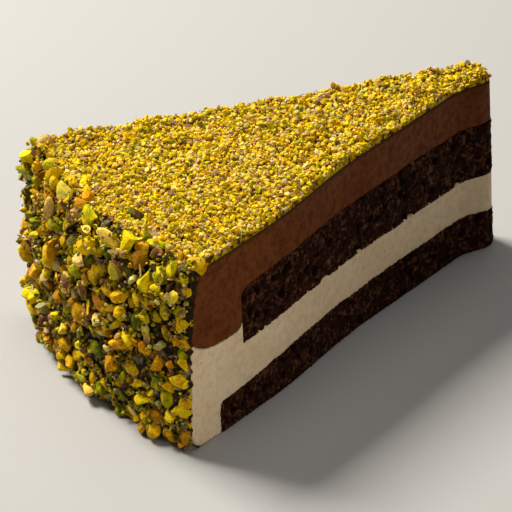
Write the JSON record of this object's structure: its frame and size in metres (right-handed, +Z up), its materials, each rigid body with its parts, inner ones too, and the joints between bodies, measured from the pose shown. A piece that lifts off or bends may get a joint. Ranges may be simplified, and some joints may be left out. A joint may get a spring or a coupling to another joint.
{
  "type": "slice of pistachio cake",
  "caption": "Wedge of layered chocolate and cream mousse cake on dark sponge, with fine pistachio crumb on top and chopped pistachio round its outer side.",
  "frame": {"origin": "middle of the slice's footprint, on the plane that it stands on", "axes": "+Z up; +Y from the round outer side towards the pointed tip, along the middle of the slice; +X to the right across the slice, seen from the outer side"},
  "size_m": [0.0828, 0.1268, 0.0517],
  "materials": {
    "chocolate_sponge": "dark chocolate sponge: porous, crumbly and dull, with an open cut crumb",
    "cream_mousse": "pale cream mousse: smooth and softly satin, with small air holes and knife drag",
    "chocolate_mousse": "milk chocolate mousse: smooth, soft satin, with faint mottling and knife drag",
    "pistachio_crumb": "finely ground pistachio: dull, grainy, yellow with specks of purple-brown skin and pale green",
    "chopped_pistachio": "coarsely chopped pistachio: waxy pieces in yellow, amber and green with purple-brown skin"
  },
  "bodies": {
    "root": {"base_sponge": "chocolate_sponge", "cream_mousse": "cream_mousse", "middle_sponge": "chocolate_sponge", "chocolate_mousse": "chocolate_mousse", "pistachio_crumb": "pistachio_crumb", "pistachio_coat": "chopped_pistachio"}
  },
  "joints": []
}
